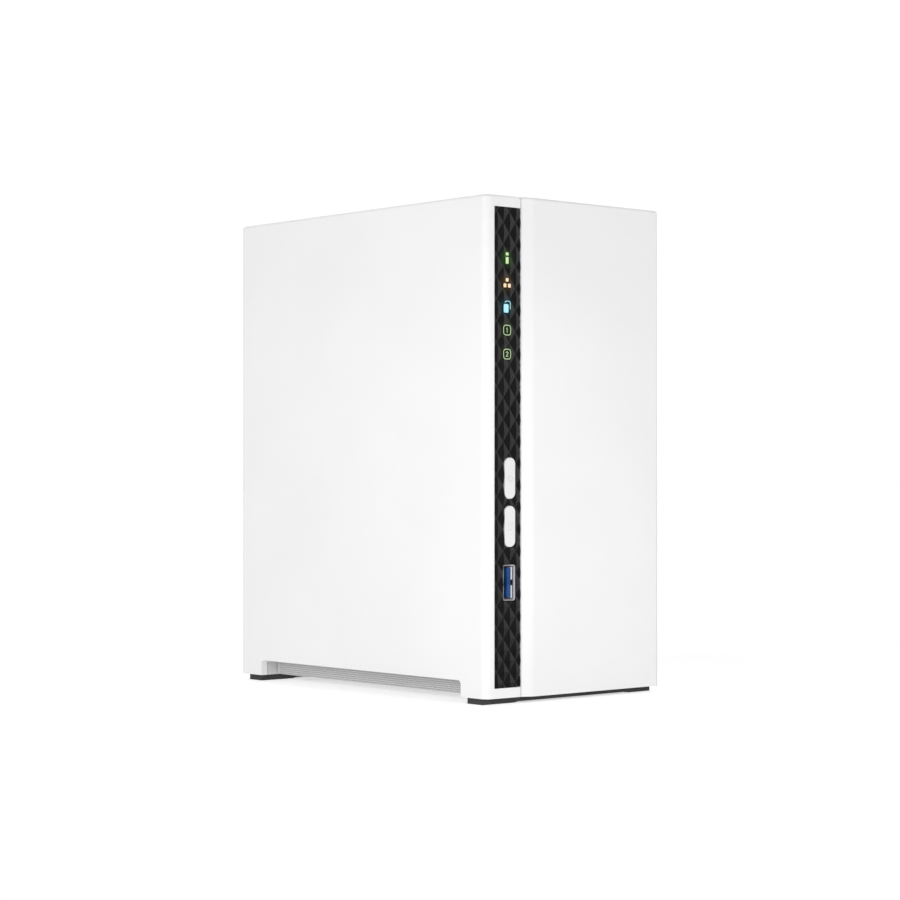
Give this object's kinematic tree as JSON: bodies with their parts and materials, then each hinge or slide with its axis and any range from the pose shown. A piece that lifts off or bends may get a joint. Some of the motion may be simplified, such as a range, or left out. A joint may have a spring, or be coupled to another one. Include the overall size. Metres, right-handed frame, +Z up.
{
  "type": "two-bay network attached storage",
  "caption": "Upright desktop box that shares hard drives over a network: white shells, a faceted black light and button strip, side air slots, rear fan and sockets.",
  "frame": {"origin": "centre of the overall box, on the plane the feet stand on", "axes": "+Z up; -Y is the front with the lights and buttons, +Y the rear with the fan and sockets; +X is the right side seen from the front, which is the sliding cover, and -X the fixed left shell"},
  "size_m": [0.0902, 0.1562, 0.1886],
  "materials": {
    "white_plastic": "fine satin",
    "black_gloss": "gloss",
    "dark_plastic": "matt",
    "rubber": "matt",
    "steel": "satin",
    "aluminium": "cast",
    "brass": "bright",
    "circuit_board": "satin lacquer",
    "blue_plastic": "satin",
    "clear_plastic": "clear",
    "copper": "enamelled wire"
  },
  "bodies": {
    "case": {"left_housing": "white_plastic", "base_tray": "white_plastic", "rear_panel": "white_plastic", "intake_grille_left": "white_plastic", "intake_grille_right": "white_plastic", "front_foot": "rubber", "rear_foot": "rubber", "bezel_strip": "black_gloss", "power_switch": "dark_plastic", "copy_switch": "dark_plastic", "light_pipe_status": "clear_plastic", "light_pipe_network": "clear_plastic", "light_pipe_usb": "clear_plastic", "light_pipe_disk_1": "clear_plastic", "light_pipe_disk_2": "clear_plastic", "usb3_shell": "steel", "usb3_tongue": "blue_plastic", "front_board": "circuit_board", "front_lead": "white_plastic", "mainboard": "circuit_board", "heat_sink": "aluminium", "coin_cell": "steel", "lan_jack": "steel", "usb2_shell": "steel", "usb2_tongue_a": "dark_plastic", "usb2_tongue_b": "dark_plastic", "dc_jack": "dark_plastic", "dc_pin": "brass", "reset_switch": "dark_plastic", "drive_cage": "steel", "backplane": "circuit_board", "sata_socket_1": "dark_plastic", "sata_socket_2": "dark_plastic", "drive_1_tub": "aluminium", "drive_1_lid": "steel", "drive_1_board": "circuit_board", "drive_2_tub": "aluminium", "drive_2_lid": "steel", "drive_2_board": "circuit_board", "drive_screw_1": "steel", "drive_screw_2": "steel", "drive_screw_3": "steel", "drive_screw_4": "steel", "fan_frame": "dark_plastic", "fan_stator": "copper", "fan_lead": "dark_plastic", "fan_screw_1": "steel", "fan_screw_2": "steel", "fan_screw_3": "steel", "fan_screw_4": "steel", "cover_screw_left": "steel", "cover_screw_right": "steel"},
    "cover": {"side_cover": "white_plastic"},
    "power_button": {"power_button": "white_plastic", "power_switch_plunger": "dark_plastic"},
    "copy_button": {"copy_button": "white_plastic", "copy_switch_plunger": "dark_plastic"},
    "reset_button": {"reset_plunger": "dark_plastic"},
    "fan_rotor": {"fan_rotor": "dark_plastic", "fan_shaft": "steel"}
  },
  "joints": [
    {"name": "cover_slide", "type": "slide", "parent": "case", "child": "cover", "axis": [0, -1, 0], "range_m": [0, 0.165]},
    {"name": "power_button_press", "type": "slide", "parent": "case", "child": "power_button", "axis": [0.0262, 0.9997, 0], "range_m": [0, 0.0008], "stiffness_N_per_m": 1500, "springref_m": -0.0005},
    {"name": "copy_button_press", "type": "slide", "parent": "case", "child": "copy_button", "axis": [0.0262, 0.9997, 0], "range_m": [0, 0.0008], "stiffness_N_per_m": 1500, "springref_m": -0.0005},
    {"name": "reset_button_press", "type": "slide", "parent": "case", "child": "reset_button", "axis": [0, -1, 0], "range_m": [0, 0.0004], "stiffness_N_per_m": 2000, "springref_m": -0.0003},
    {"name": "fan_spin", "type": "hinge", "parent": "case", "child": "fan_rotor", "pos_m": [0, 0.06, 0.12], "axis": [0, 1, 0], "continuous": true}
  ]
}
